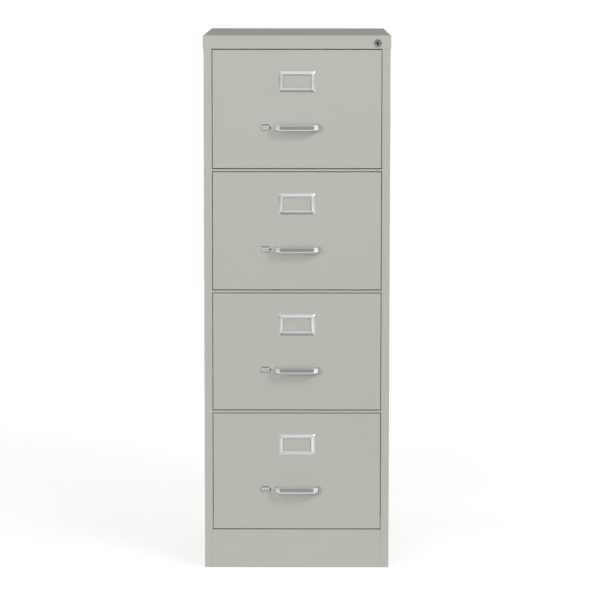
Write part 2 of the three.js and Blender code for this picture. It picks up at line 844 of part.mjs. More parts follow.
const caseGroup = new THREE.Group();
addMesh(caseGroup, "left_side_panel", cut(sidePanel(-1), ...latchKeepers()), enamel);
addMesh(caseGroup, "right_side_panel", sidePanel(1), enamel);
addMesh(caseGroup, "back_panel", backPanel(), enamel);
addMesh(caseGroup, "top_cap", topCap(), enamel);
addMesh(caseGroup, "header_rail", headerRail(), enamel);
addMesh(caseGroup, "toe_panel", toePanel(), enamel);
addMesh(caseGroup, "left_front_upright", upright(-1, frontUprightY), zincPlate);
addMesh(caseGroup, "left_rear_upright", upright(-1, rearUprightY), zincPlate);
addMesh(caseGroup, "right_front_upright", join(upright(1, frontUprightY), ...lockBarGuides()), zincPlate);
addMesh(caseGroup, "right_rear_upright", upright(1, rearUprightY), zincPlate);
addMesh(caseGroup, "lock_housing", lockHousing(), chrome);
addMesh(caseGroup, "lock_plug", lockPlug(), chrome);
addMesh(caseGroup, "lock_bar", lockBar(), zincPlate);
cabinet.add(caseGroup);

for (let number = 1; number < drawerCount; number += 1) {
  const rail = new THREE.Group();
  rail.position.z = drawerZ(number) - frontGap - railHeight;
  addMesh(rail, `divider_rail_${number}`, dividerRail(), enamel);
  cabinet.add(rail);
}

for (let number = 1; number <= drawerCount; number += 1) {
  const slides = new THREE.Group();
  slides.position.z = drawerZ(number) + slideRise;
  addMesh(slides, `left_slide_channel_${number}`, cabinetMember(-1), zincPlate);
  addMesh(slides, `right_slide_channel_${number}`, cabinetMember(1), zincPlate);
  addMesh(slides, `slide_cradle_${number}`, slideCradle(), zincPlate);
  cabinet.add(slides);

  const drawer = new THREE.Group();
  drawer.position.z = drawerZ(number);
  addMesh(drawer, `drawer_front_${number}`, drawerFront(), enamel);
  addMesh(drawer, `drawer_tub_${number}`, drawerTub(), enamel);
  addMesh(drawer, `drawer_pull_${number}`, pull(), chrome);
  addMesh(drawer, `label_holder_${number}`, labelHolder(), chrome);
  addMesh(drawer, `thumb_latch_${number}`, thumbLatch(), chrome);
  addMesh(drawer, `lock_catch_${number}`, lockCatch(), zincPlate);
  addMesh(drawer, `file_follower_${number}`, follower(), enamel);
  addMesh(drawer, `lock_lug_${number}`, lockLug(), zincPlate);
  cabinet.add(drawer);
}

export default cabinet;
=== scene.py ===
import bpy
import bmesh
from math import pi, radians, tan
from mathutils import Matrix, Vector


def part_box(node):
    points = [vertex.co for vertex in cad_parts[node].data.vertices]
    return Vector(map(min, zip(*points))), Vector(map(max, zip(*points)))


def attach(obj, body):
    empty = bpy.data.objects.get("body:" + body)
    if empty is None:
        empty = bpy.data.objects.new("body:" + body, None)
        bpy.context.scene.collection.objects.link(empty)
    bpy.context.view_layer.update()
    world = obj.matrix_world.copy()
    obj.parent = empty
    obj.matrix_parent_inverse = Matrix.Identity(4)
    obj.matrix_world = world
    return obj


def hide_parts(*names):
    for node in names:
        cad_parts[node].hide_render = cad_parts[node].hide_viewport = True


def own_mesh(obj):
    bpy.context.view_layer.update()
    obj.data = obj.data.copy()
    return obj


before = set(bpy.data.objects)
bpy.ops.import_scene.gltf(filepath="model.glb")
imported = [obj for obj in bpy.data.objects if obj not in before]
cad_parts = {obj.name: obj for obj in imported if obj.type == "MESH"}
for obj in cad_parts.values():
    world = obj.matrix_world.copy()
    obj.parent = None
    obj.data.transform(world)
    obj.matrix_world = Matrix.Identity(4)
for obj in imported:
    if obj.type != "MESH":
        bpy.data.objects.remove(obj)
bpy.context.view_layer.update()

# ---------------------------------------------------------------- case
# The case is folded from cold-rolled steel sheet 1 mm thick: two sides with the front stiles
# turned in from them, a back, a base front and the rails between the drawers. The sheets are
# spot welded, then sprayed and baked together, so they all have one skin of grey enamel.

# A Mix node's sockets have one name for all kinds of data, so they go by number: here for colours.
FACTOR = 0
COLOUR_A, COLOUR_B, COLOUR = 6, 7, 2


def linear(code):
    """The linear colour of an sRGB hex value."""
    channels = [int(code[i:i + 2], 16) / 255 for i in (0, 2, 4)]
    return tuple(c / 12.92 if c <= 0.04045 else ((c + 0.055) / 1.055) ** 2.4 for c in channels) + (1.0,)


def scale_of(millimetres):
    """The scale that makes a pattern as coarse as this, on coordinates in metres."""
    return 1000 / millimetres


def add(tree, kind, settings=None, links=None):
    """Adds a node, sets its inputs or its own settings, and links other nodes' outputs to it."""
    node = tree.nodes.new(kind)
    for key, value in (settings or {}).items():
        if isinstance(key, int) or key in node.inputs:
            node.inputs[key].default_value = value
        else:
            setattr(node, key, value)
    for key, output in (links or {}).items():
        tree.links.new(output, node.inputs[key])
    return node


def blank(name):
    """A new material and its node tree, with no nodes yet."""
    material = bpy.data.materials.new(name)
    material.use_nodes = True
    material.node_tree.nodes.clear()
    return material, material.node_tree


def baked_enamel():
    # Grey baking enamel on steel: an even, low gloss with a faint orange peel of 3 mm. The spray
    # leaves the shade and the gloss a little uneven over a hand's breadth, about 180 mm.
    material, tree = blank("grey_baked_enamel")
    place = add(tree, "ShaderNodeTexCoord").outputs["Object"]
    cloud = add(tree, "ShaderNodeTexNoise", {"Scale": scale_of(180), "Detail": 3.0}, {"Vector": place})
    shade = add(tree, "ShaderNodeMix", {
        "data_type": "RGBA", COLOUR_A: linear("b8b9b1"), COLOUR_B: linear("bbbcb4")}, {
        FACTOR: cloud.outputs["Fac"]})
    gloss = add(tree, "ShaderNodeMapRange", {"To Min": 0.48, "To Max": 0.58}, {
        "Value": cloud.outputs["Fac"]})
    peel = add(tree, "ShaderNodeTexNoise", {"Scale": scale_of(3), "Detail": 1.0}, {"Vector": place})
    dents = add(tree, "ShaderNodeBump", {"Strength": 0.25, "Distance": 0.00006}, {
        "Height": peel.outputs["Fac"]})
    paint = add(tree, "ShaderNodeBsdfPrincipled", {"IOR": 1.5}, {
        "Base Color": shade.outputs[COLOUR],
        "Roughness": gloss.outputs["Result"],
        "Normal": dents.outputs["Normal"],
    })
    add(tree, "ShaderNodeOutputMaterial", links={"Surface": paint.outputs["BSDF"]})
    return material


enamel = baked_enamel()


def dress(material, *nodes):
    """Gives nodes that keep their plain shape their finish."""
    for node in nodes:
        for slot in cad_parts[node].material_slots:
            slot.material = material


dress(enamel, "left_side_panel", "right_side_panel", "back_panel", "header_rail", "toe_panel")
dress(enamel, "divider_rail_1", "divider_rail_2", "divider_rail_3")

# ---------------------------------------------------------------- lid
# The lid is one sheet pressed into a shallow pan, with soft edges and corners, that fits over
# the top of the case. Its front skirt has a hole for the lock.

# All lengths are in metres, but for the steps of the profiles.
LID_SHEET = 0.0012
LID_EDGE = 0.0025
LID_CORNER = 0.004
LOCK_HOLE_RADIUS = 0.0089
BROAD_FACE = 0.002  # square metres
FACE_BORDER = 0.0012
HAIR = 1e-5  # points this near to each other are in one place
PAST = 0.01  # a cutter reaches this far past what it cuts
X, Z = 0, 2


def pick(piece, part, wanted):
    """Selects, in edit mode, only the verts, edges or faces that are wanted."""
    bpy.ops.mesh.select_mode(type={"verts": "VERT", "edges": "EDGE", "faces": "FACE"}[part])
    bpy.ops.mesh.select_all(action="DESELECT")
    shape = bmesh.from_edit_mesh(piece.data)
    for item in getattr(shape, part):
        if wanted(item):
            item.select_set(True)
    bmesh.update_edit_mesh(piece.data)


def begin_cube(low, high):
    """A cube that fills the space between two corners, open for editing."""
    bpy.ops.object.select_all(action="DESELECT")
    low, high = Vector(low), Vector(high)
    bpy.ops.mesh.primitive_cube_add(size=1, location=(low + high) / 2, scale=high - low)
    bpy.ops.object.transform_apply(location=True, rotation=True, scale=True)
    piece = bpy.context.object
    bpy.ops.object.mode_set(mode="EDIT")
    return piece


def rod(radius, x, z, y0, y1, sides=32):
    """A round bar along Y."""
    bpy.ops.object.select_all(action="DESELECT")
    bpy.ops.mesh.primitive_cylinder_add(
        vertices=sides, radius=radius, depth=y1 - y0, rotation=(pi / 2, 0, 0),
        location=(x, (y0 + y1) / 2, z))
    bpy.ops.object.transform_apply(location=True, rotation=True, scale=True)
    return bpy.context.object


def combine(piece, operation, tools):
    """Cuts the tools' shapes out of the piece, or welds them to it, and deletes the tools."""
    for tool in tools:
        bpy.ops.object.select_all(action="DESELECT")
        bpy.context.view_layer.objects.active = piece
        piece.select_set(True)
        change = piece.modifiers.new("change", "BOOLEAN")
        change.operation = operation
        change.solver = "EXACT"
        change.object = tool
        bpy.ops.object.modifier_apply(modifier=change.name)
        bpy.data.objects.remove(tool)


def cut_out(piece, *tools):
    combine(piece, "DIFFERENCE", tools)


def frame_faces(piece):
    """Gives each broad face a narrow border, so that it stays flat up to the round edges."""
    pick(piece, "faces", lambda face: face.calc_area() > BROAD_FACE)
    bpy.ops.mesh.inset(thickness=FACE_BORDER, depth=0, use_individual=True)


def middle(node, axis):
    low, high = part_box(node)
    return (low[axis] + high[axis]) / 2


def settle(piece, name, material, body, slot, *nodes, angle=30):
    """Names and finishes a piece, and puts it on its body in place of the plain nodes."""
    if bpy.context.mode != "OBJECT":
        bpy.ops.object.mode_set(mode="OBJECT")
    bpy.ops.object.select_all(action="DESELECT")
    bpy.context.view_layer.objects.active = piece
    piece.select_set(True)
    bpy.ops.object.shade_smooth_by_angle(angle=radians(angle))
    piece.name = name
    piece.data.name = name
    piece.data.materials.clear()
    piece.data.materials.append(material)
    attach(piece, body)
    if nodes:
        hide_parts(*nodes)


low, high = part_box("top_cap")


def upright_edge(edge):
    return abs(edge.verts[0].co.z - edge.verts[1].co.z) > 0.01


def top_edge(edge):
    at_top = all(vert.co.z > high.z - HAIR for vert in edge.verts)
    return at_top and len(edge.link_faces) == 2 and edge.calc_face_angle() > 0.5


lid = begin_cube(low, high)
pick(lid, "edges", upright_edge)
bpy.ops.mesh.bevel(offset=LID_CORNER, segments=4, affect="EDGES")
pick(lid, "edges", top_edge)
bpy.ops.mesh.bevel(offset=LID_EDGE, segments=4, affect="EDGES")
frame_faces(lid)
pick(lid, "faces", lambda face: face.normal.z < -0.9)
bpy.ops.mesh.delete(type="FACE")
bpy.ops.object.mode_set(mode="OBJECT")
sheet = lid.modifiers.new("sheet", "SOLIDIFY")
sheet.thickness = LID_SHEET
sheet.offset = -1
sheet.use_even_offset = True
bpy.ops.object.modifier_apply(modifier=sheet.name)
lock_x = middle("lock_housing", X)
lock_z = middle("lock_housing", Z)
cut_out(lid, rod(LOCK_HOLE_RADIUS, lock_x, lock_z, low.y - PAST, low.y + PAST, sides=48))
settle(lid, "pressed_lid", enamel, "case", "grey_enamel", "top_cap")

# ---------------------------------------------------------------- uprights and slides
# Hat-section uprights are welded inside the sides and carry the slides. Each slide is three
# sections rolled from strip and zinc plated: a channel on the uprights, a cradle that runs in it
# on balls, and a member on the drawer.

DRAWERS = (1, 2, 3, 4)


def zinc_plate(name, lengthwise):
    # Bright zinc plate on rolled strip: bluish grey metal, neither matt nor a mirror. The rolls
    # leave fine lines along the strip, 1 mm apart and 80 mm long, and the plate is clouded by 30 mm.
    material, tree = blank(name)
    place = add(tree, "ShaderNodeTexCoord").outputs["Object"]
    stretch = [scale_of(1)] * 3
    stretch[lengthwise] = scale_of(80)
    drawn = add(tree, "ShaderNodeMapping", {"Scale": stretch}, {"Vector": place})
    lines = add(tree, "ShaderNodeTexNoise", {"Scale": 1.0, "Detail": 2.0}, {
        "Vector": drawn.outputs["Vector"]})
    cloud = add(tree, "ShaderNodeTexNoise", {"Scale": scale_of(30), "Detail": 3.0}, {"Vector": place})
    shade = add(tree, "ShaderNodeMix", {
        "data_type": "RGBA", COLOUR_A: linear("a9acb1"), COLOUR_B: linear("bdbfc2")}, {
        FACTOR: cloud.outputs["Fac"]})
    gloss = add(tree, "ShaderNodeMapRange", {"To Min": 0.26, "To Max": 0.42}, {
        "Value": lines.outputs["Fac"]})
    dents = add(tree, "ShaderNodeBump", {"Strength": 0.3, "Distance": 0.00005}, {
        "Height": lines.outputs["Fac"]})
    plate = add(tree, "ShaderNodeBsdfPrincipled", {"Metallic": 1.0}, {
        "Base Color": shade.outputs[COLOUR],
        "Roughness": gloss.outputs["Result"],
        "Normal": dents.outputs["Normal"],
    })
    add(tree, "ShaderNodeOutputMaterial", links={"Surface": plate.outputs["BSDF"]})
    return material


zinc_upright = zinc_plate("zinc_plated_upright", 2)
zinc_slide = zinc_plate("zinc_plated_slide", 1)

dress(zinc_upright, "left_front_upright", "left_rear_upright")
dress(zinc_upright, "right_front_upright", "right_rear_upright")
for number in DRAWERS:
    dress(zinc_slide, f"left_slide_channel_{number}", f"right_slide_channel_{number}")
    dress(zinc_slide, f"slide_cradle_{number}")

# ---------------------------------------------------------------- drawers
# A drawer is a welded steel tub with hemmed sides and a track down its floor for the follower.
# Its front is a folded pan 20 mm deep, with soft folds, closed at the back by an inner panel.
# The front has holes for the latch, the pull's screws and the label holder's tabs.

FRONT_FOLD = 0.0013
FRONT_SHEET = 0.001
PANEL_BORDER = 0.009
PANEL_STEP_WIDTH = 0.0006
PANEL_STEP_DEPTH = 0.0008
DRAWER_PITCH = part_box("drawer_front_1")[0].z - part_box("drawer_front_2")[0].z
# The latch's stem and flat bar, the pull's posts and the holder's tabs, with the room around each.
SLIDING_FIT = 0.0006
STILL_FIT = 0.0003
LATCH_X = -0.077
LATCH_TRAVEL = 0.006
STEM_HALF_WIDTH = 0.0025
STEM_HALF_HEIGHT = 0.0035
FLAT_BAR_FRONT = 0.008
FLAT_BAR_BACK = 0.010
FLAT_BAR_HALF_HEIGHT = 0.007
PULL_WIDTH = 0.108
PULL_THICKNESS = 0.0055
SCREW_RADIUS = 0.0025
TAB_SLOT_X = 0.039875
TAB_HALF_WIDTH = 0.0005
TAB_HALF_HEIGHT = 0.006


def copy_to(piece, number):
    """A copy of the top drawer's piece for another drawer, with its own mesh."""
    twin = piece.copy()
    twin.data = piece.data.copy()
    bpy.context.scene.collection.objects.link(twin)
    twin.data.transform(Matrix.Translation((0, 0, -DRAWER_PITCH * (number - 1))))
    return twin


def on_each_drawer(piece, name, material, body, slot, node=None, angle=30):
    """Puts the top drawer's piece on that drawer and a copy of it on each of the others."""
    if bpy.context.mode != "OBJECT":
        bpy.ops.object.mode_set(mode="OBJECT")
    pieces = [piece, *(copy_to(piece, number) for number in DRAWERS[1:])]
    for number, twin in zip(DRAWERS, pieces):
        nodes = [f"{node}_{number}"] if node else []
        settle(twin, f"{name}_{number}", material, f"{body}_{number}", slot, *nodes, angle=angle)
    return pieces


def back_face(face):
    return face.normal.y > 0.9


def block(low, high):
    """A plain block, to cut with or to join to a piece."""
    piece = begin_cube(low, high)
    bpy.ops.object.mode_set(mode="OBJECT")
    return piece


def block_about(x, z, half_width, half_height, y0, y1):
    """A block about a line along Y."""
    return block((x - half_width, y0, z - half_height), (x + half_width, y1, z + half_height))


low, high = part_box("drawer_front_1")
face_y = low.y
latch_z = middle("thumb_latch_1", Z)
holder_z = middle("label_holder_1", Z)
post_x = (PULL_THICKNESS - PULL_WIDTH) / 2
front = begin_cube(low, high)
pick(front, "edges", lambda edge: not all(vert.co.y > high.y - HAIR for vert in edge.verts))
bpy.ops.mesh.bevel(offset=FRONT_FOLD, segments=3, affect="EDGES")
frame_faces(front)
pick(front, "faces", back_face)
bpy.ops.mesh.inset(thickness=PANEL_BORDER, depth=0)
bpy.ops.mesh.inset(thickness=PANEL_STEP_WIDTH, depth=-PANEL_STEP_DEPTH)
bpy.ops.object.mode_set(mode="OBJECT")
wall = Vector((FRONT_SHEET,) * 3)
hollow = block(low + wall, high - wall - Vector((0, FRONT_SHEET, 0)))
# Holes through the outer sheet reach from just before it to well behind it.
hole_y = (face_y - 0.002, face_y + 0.004)
stem_hole = block_about(
    LATCH_X + LATCH_TRAVEL / 2, latch_z, STEM_HALF_WIDTH + LATCH_TRAVEL / 2 + SLIDING_FIT,
    STEM_HALF_HEIGHT + SLIDING_FIT, *hole_y)
bar_half_height = FLAT_BAR_HALF_HEIGHT + SLIDING_FIT
bar_hole = block(
    (low.x - 0.002, face_y + FLAT_BAR_FRONT - SLIDING_FIT, latch_z - bar_half_height),
    (low.x + 0.004, face_y + FLAT_BAR_BACK + SLIDING_FIT, latch_z + bar_half_height))
screw_room = SCREW_RADIUS + STILL_FIT
face_holes = [block_about(x, latch_z, screw_room, screw_room, *hole_y) for x in (post_x, -post_x)]
face_holes += [
    block_about(x, holder_z, TAB_HALF_WIDTH + STILL_FIT, TAB_HALF_HEIGHT + STILL_FIT, *hole_y)
    for x in (-TAB_SLOT_X, TAB_SLOT_X)]
cut_out(front, hollow, stem_hole, bar_hole, *face_holes)
on_each_drawer(front, "folded_front", enamel, "drawer", "grey_enamel", "drawer_front")

for number in DRAWERS:
    dress(enamel, f"drawer_tub_{number}", f"file_follower_{number}")
    dress(zinc_slide, f"lock_catch_{number}")

# ---------------------------------------------------------------- pulls
# The pull is a flat bar of steel with a rounded face, bent square at both ends and chrome
# plated. Two screws hold it from inside the drawer front.


def chrome_plate():
    # Polished chrome plate: a clear, slightly blue mirror. Buffing leaves it a very little wavy,
    # about 12 mm from wave to wave, and handling leaves it a little dulled in patches of 20 mm.
    material, tree = blank("polished_chrome_plate")
    place = add(tree, "ShaderNodeTexCoord").outputs["Object"]
    waves = add(tree, "ShaderNodeTexNoise", {"Scale": scale_of(12), "Detail": 1.0}, {"Vector": place})
    smears = add(tree, "ShaderNodeTexNoise", {"Scale": scale_of(20), "Detail": 4.0}, {"Vector": place})
    gloss = add(tree, "ShaderNodeMapRange", {"To Min": 0.06, "To Max": 0.16}, {
        "Value": smears.outputs["Fac"]})
    dents = add(tree, "ShaderNodeBump", {"Strength": 0.15, "Distance": 0.0001}, {
        "Height": waves.outputs["Fac"]})
    plate = add(tree, "ShaderNodeBsdfPrincipled", {"Metallic": 1.0, "Base Color": linear("c9cacb")}, {
        "Roughness": gloss.outputs["Result"],
        "Normal": dents.outputs["Normal"],
    })
    add(tree, "ShaderNodeOutputMaterial", links={"Surface": plate.outputs["BSDF"]})
    return material


chrome = chrome_plate()

PULL_HEIGHT = 0.015
CORNER_CUT = 0.0085
OUTER_BEND = 0.005
INNER_BEND = 0.007
HALF_CORNER = pi / 4
FINE_ROUND = 3
BROAD_ROUND = 8
# The section's four corners: outwards or inwards, up or down, the radius and the steps of its round.
SECTION_CORNERS = (
    (-1, 1, 0.0009, FINE_ROUND),
    (-1, -1, 0.0047, BROAD_ROUND),
    (1, 1, 0.0007, FINE_ROUND),
    (1, -1, 0.0007, FINE_ROUND),
)
SEAM = 0.0003
SCREW_HEAD_RADIUS = 0.005
SCREW_HEAD_DEPTH = 0.002
SCREW_DOME = 0.0009
SLOT_HALF_WIDTH = 0.0006
SLOT_DEPTH = 0.0011
SHANK_IN_POST = 0.0002
SHANK_IN_HEAD = 0.0001
JUST_PAST = 0.001  # how far a cutter reaches past a small piece

low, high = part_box("drawer_pull_1")
foot_y = face_y - SEAM
bar_y = low.y + PULL_THICKNESS / 2
pull_z = middle("drawer_pull_1", Z)
# The section of the bar stands on the drawer front at the left post, its lower outer corner the
# roundest. It is drawn out, turned half a corner, and so on to the far post.
bpy.ops.object.select_all(action="DESELECT")
bpy.ops.mesh.primitive_plane_add(size=1, location=(post_x, foot_y, pull_z), rotation=(pi / 2, 0, 0))
pull = bpy.context.object
pull.scale = (PULL_THICKNESS, PULL_HEIGHT, 1)
bpy.ops.object.transform_apply(location=True, rotation=True, scale=True)
bpy.ops.object.mode_set(mode="EDIT")
for across, upwards, radius, steps in SECTION_CORNERS:
    corner = Vector((post_x + across * PULL_THICKNESS / 2, foot_y, pull_z + upwards * PULL_HEIGHT / 2))
    pick(pull, "verts", lambda vert: (vert.co - corner).length < HAIR)
    bpy.ops.mesh.bevel(offset=radius, segments=steps, affect="VERTICES")
bpy.ops.mesh.select_mode(type="FACE")
bpy.ops.mesh.select_all(action="SELECT")

# A half corner takes this much of its radius off the straight stretches on either side.
taken = tan(HALF_CORNER / 2)
leg = foot_y - bar_y - CORNER_CUT - OUTER_BEND * taken
slant = CORNER_CUT * 2 ** 0.5 - (OUTER_BEND + INNER_BEND) * taken
span = -2 * (post_x + CORNER_CUT + INNER_BEND * taken)
place = Vector((post_x, foot_y))
heading = Vector((0, -1))
half_corner = Matrix.Rotation(HALF_CORNER, 2)
for length, bend in (
        (leg, OUTER_BEND), (slant, INNER_BEND), (span, INNER_BEND), (slant, OUTER_BEND), (leg, None)):
    step = heading * length
    bpy.ops.mesh.extrude_region_move(TRANSFORM_OT_translate={"value": (step.x, step.y, 0)})
    place = place + step
    if bend:
        side = Vector((-heading.y, heading.x)) * bend
        centre = place + side
        bpy.ops.mesh.spin(
            steps=6, angle=-HALF_CORNER, center=(centre.x, centre.y, pull_z), axis=(0, 0, 1))
        place = centre - half_corner @ side
        heading = half_corner @ heading
bpy.ops.mesh.select_all(action="SELECT")
bpy.ops.mesh.remove_doubles(threshold=1e-6)
bpy.ops.mesh.normals_make_consistent(inside=False)
bpy.ops.object.mode_set(mode="OBJECT")


def join_to(piece, *others):
    """Makes the others part of the piece."""
    bpy.ops.object.select_all(action="DESELECT")
    for other in others:
        other.select_set(True)
    piece.select_set(True)
    bpy.context.view_layer.objects.active = piece
    bpy.ops.object.join()


def pan_screw(x):
    """A screw inside the drawer front, with a domed and slotted head."""
    head = rod(SCREW_HEAD_RADIUS, x, pull_z, high.y - SCREW_HEAD_DEPTH, high.y)
    bpy.ops.object.mode_set(mode="EDIT")
    pick(head, "faces", back_face)
    bpy.ops.mesh.bevel(offset=SCREW_DOME, segments=3, affect="EDGES")
    bpy.ops.object.mode_set(mode="OBJECT")
    slot = block_about(
        x, pull_z, SCREW_HEAD_RADIUS + JUST_PAST, SLOT_HALF_WIDTH,
        high.y - SLOT_DEPTH, high.y + JUST_PAST)
    cut_out(head, slot)
    shank_end = high.y - SCREW_HEAD_DEPTH + SHANK_IN_HEAD
    shank = rod(SCREW_RADIUS, x, pull_z, foot_y - SHANK_IN_POST, shank_end, sides=16)
    join_to(head, shank)
    return head


join_to(pull, pan_screw(post_x), pan_screw(-post_x))
on_each_drawer(pull, "bow_pull", chrome, "drawer", "bright_chrome", "drawer_pull", angle=50)

# ---------------------------------------------------------------- label holders
# The label holder is pressed from thin steel and chrome plated: a border that slopes up to a
# round bead about the window. A card slides in behind it. Tabs at its ends hold it on.

HOLDER_EDGE = 0.0006
HOLDER_CORNER = 0.0024
# Steps of the pressed profile in mm, from the outer edge in: the border slopes up to a round
# bead and falls a little to the window's edge, which stands clear of the drawer front.
HOLDER_PROFILE = (
    (0.3, 0.3), (6.0, 1.7), (0.6, 0.35), (0.5, 0.2), (0.3, 0.05), (0.4, -0.15), (0.4, -0.2),
    (1.6, -0.62),
)
WINDOW_HALF_WIDTH = 0.0345
WINDOW_HALF_HEIGHT = 0.0158
CARD_HALF_WIDTH = 0.0385
CARD_HALF_HEIGHT = 0.0195
CARD_DEPTH = 0.0015
TAB_X = 0.0399


def front_face(face):
    return face.normal.y < -0.9


def press_out(piece, profile, x, half_width, corner, segments):
    """Presses the front face out by the steps of a profile in mm, and rounds the corners."""
    def at_end(vert):
        return abs(abs(vert.co.x - x) - half_width) < 0.0001

    def corner_edge(edge):
        one, other = (vert.co for vert in edge.verts)
        mitre = (one.x - other.x) * (one.z - other.z) != 0
        upright = abs(one.y - other.y) > 0.0005 and all(at_end(vert) for vert in edge.verts)
        return (mitre or upright) and edge.is_manifold

    pick(piece, "faces", front_face)
    for width, height in profile:
        bpy.ops.mesh.inset(thickness=width / 1000, depth=height / 1000)
    pick(piece, "edges", corner_edge)
    bpy.ops.mesh.bevel(offset=corner, segments=segments, affect="EDGES")
    bpy.ops.object.mode_set(mode="OBJECT")


low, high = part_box("label_holder_1")
back_y = face_y - SEAM
holder = begin_cube((low.x, back_y - HOLDER_EDGE, low.z), (high.x, back_y, high.z))
press_out(holder, HOLDER_PROFILE, 0, high.x, HOLDER_CORNER, segments=4)
window = block_about(0, holder_z, WINDOW_HALF_WIDTH, WINDOW_HALF_HEIGHT, back_y - PAST, back_y + PAST)
pocket = block_about(0, holder_z, CARD_HALF_WIDTH, CARD_HALF_HEIGHT, back_y - CARD_DEPTH, back_y + PAST)
cut_out(holder, window, pocket)
tabs = [
    block_about(x, holder_z, TAB_HALF_WIDTH, TAB_HALF_HEIGHT, back_y - HOLDER_EDGE / 2, high.y)
    for x in (-TAB_X, TAB_X)]
join_to(holder, *tabs)
on_each_drawer(holder, "label_frame", chrome, "drawer", "bright_chrome", "label_holder", angle=25)

# ---------------------------------------------------------------- thumb latches
# A thumb latch slides beside each pull: a die-cast, chrome-plated thumb piece with sloping
# sides and a dished face. Behind the front its stem carries a flat steel bar, which a coil
# spring pushes to the left, against the drawer front's side.

THUMB_HALF_WIDTH = 0.013
THUMB_EDGE = 0.0008
THUMB_CORNER = 0.0009
# Steps of the cast profile in mm, from the outer edge in: steep sides, a round brow and the dish.
THUMB_PROFILE = ((3.2, 3.8), (0.4, 0.6), (0.5, 0.3), (0.5, -0.1), (1.4, -0.26), (1.6, -0.3))
SOFT_EDGE = 0.0004
FLAT_BAR_REACH = 0.0145  # to the right of the thumb piece's middle


def rounded_block(low, high, radius, segments, wanted=lambda edge: True):
    """A block with all its edges rounded, or those that are wanted."""
    piece = begin_cube(low, high)
    pick(piece, "edges", wanted)
    bpy.ops.mesh.bevel(offset=radius, segments=segments, affect="EDGES")
    bpy.ops.object.mode_set(mode="OBJECT")
    return piece


low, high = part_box("thumb_latch_1")
bar_end = LATCH_X + FLAT_BAR_REACH
thumb = begin_cube(
    (LATCH_X - THUMB_HALF_WIDTH, back_y - THUMB_EDGE, low.z),
    (LATCH_X + THUMB_HALF_WIDTH, back_y, high.z))
press_out(thumb, THUMB_PROFILE, LATCH_X, THUMB_HALF_WIDTH, THUMB_CORNER, segments=3)
stem = block_about(LATCH_X, latch_z, STEM_HALF_WIDTH, STEM_HALF_HEIGHT, back_y - THUMB_EDGE, high.y)
flat_bar = rounded_block(
    (low.x, face_y + FLAT_BAR_FRONT, latch_z - FLAT_BAR_HALF_HEIGHT),
    (bar_end, face_y + FLAT_BAR_BACK, latch_z + FLAT_BAR_HALF_HEIGHT),
    SOFT_EDGE, segments=2)
join_to(thumb, stem, flat_bar)
on_each_drawer(thumb, "thumb_latch", chrome, "latch", "bright_chrome", "thumb_latch", angle=28)

SPRING_RADIUS = 0.003
SPRING_WIRE = 0.0005
SPRING_LENGTH = 0.0187
SPRING_TURNS = 7
STEPS_PER_TURN = 16
TOUCH = 0.0001  # what touches stands this far apart

spring_start = bar_end + TOUCH
spring_end = spring_start + SPRING_LENGTH
spring_y = face_y + (FLAT_BAR_FRONT + FLAT_BAR_BACK) / 2
bpy.ops.object.select_all(action="DESELECT")
bpy.ops.mesh.primitive_circle_add(
    vertices=8, radius=SPRING_WIRE / 2, rotation=(pi / 2, 0, 0),
    location=(spring_start + SPRING_WIRE / 2, spring_y, latch_z + SPRING_RADIUS))
spring = bpy.context.object
bpy.ops.object.transform_apply(location=True, rotation=True, scale=True)
axle = bpy.data.objects.new("spring_axle", None)
bpy.context.scene.collection.objects.link(axle)
axle.location = (spring_start, spring_y, latch_z)
bpy.context.view_layer.update()
coil = spring.modifiers.new("coil", "SCREW")
coil.object = axle
coil.axis = "X"
coil.angle = 2 * pi * SPRING_TURNS
coil.screw_offset = SPRING_LENGTH - SPRING_WIRE
coil.steps = coil.render_steps = STEPS_PER_TURN * SPRING_TURNS
coil.use_merge_vertices = False
bpy.ops.object.modifier_apply(modifier=coil.name)
bpy.data.objects.remove(axle)
bpy.ops.object.mode_set(mode="EDIT")
pick(spring, "edges", lambda edge: edge.is_boundary)
bpy.ops.mesh.fill()
bpy.ops.mesh.select_all(action="SELECT")
bpy.ops.mesh.normals_make_consistent(inside=False)
bpy.ops.object.mode_set(mode="OBJECT")

# The spring bears on a seat, an angle of sheet spot welded inside the drawer front.
SEAT_SHEET = 0.001
SEAT_LENGTH = 0.009
SEAT_REACH = 0.0124
SEAT_HALF_HEIGHT = 0.005
SEAT_INNER_BEND = 0.0004
SEAT_TIP = 0.0018


def edge_at(x, y):
    """Picks the edge of a block that stands at its lowest x and y."""
    return lambda edge: all(vert.co.x < x + HAIR and vert.co.y < y + HAIR for vert in edge.verts)


seat_x = spring_end + TOUCH
seat_y = face_y + FRONT_SHEET + TOUCH
bend_x, bend_y = seat_x + SEAT_SHEET, seat_y + SEAT_SHEET
seat = rounded_block(
    (seat_x, seat_y, latch_z - SEAT_HALF_HEIGHT),
    (seat_x + SEAT_LENGTH, seat_y + SEAT_REACH, latch_z + SEAT_HALF_HEIGHT),
    SEAT_INNER_BEND + SEAT_SHEET, segments=4, wanted=edge_at(seat_x, seat_y))
inside = rounded_block(
    (bend_x, bend_y, latch_z - SEAT_HALF_HEIGHT - JUST_PAST),
    (bend_x + SEAT_LENGTH + JUST_PAST, bend_y + SEAT_REACH + JUST_PAST,
     latch_z + SEAT_HALF_HEIGHT + JUST_PAST),
    SEAT_INNER_BEND, segments=3, wanted=edge_at(bend_x, bend_y))
cut_out(seat, inside)
bpy.ops.object.mode_set(mode="EDIT")
pick(seat, "edges", lambda edge: abs(edge.calc_length() - SEAT_SHEET) < HAIR)
bpy.ops.mesh.bevel(offset=SEAT_TIP, segments=4, affect="EDGES")
on_each_drawer(seat, "spring_seat", enamel, "drawer", "grey_enamel")
springs = on_each_drawer(spring, "latch_spring", zinc_slide, "drawer", "zinc_plated_steel")
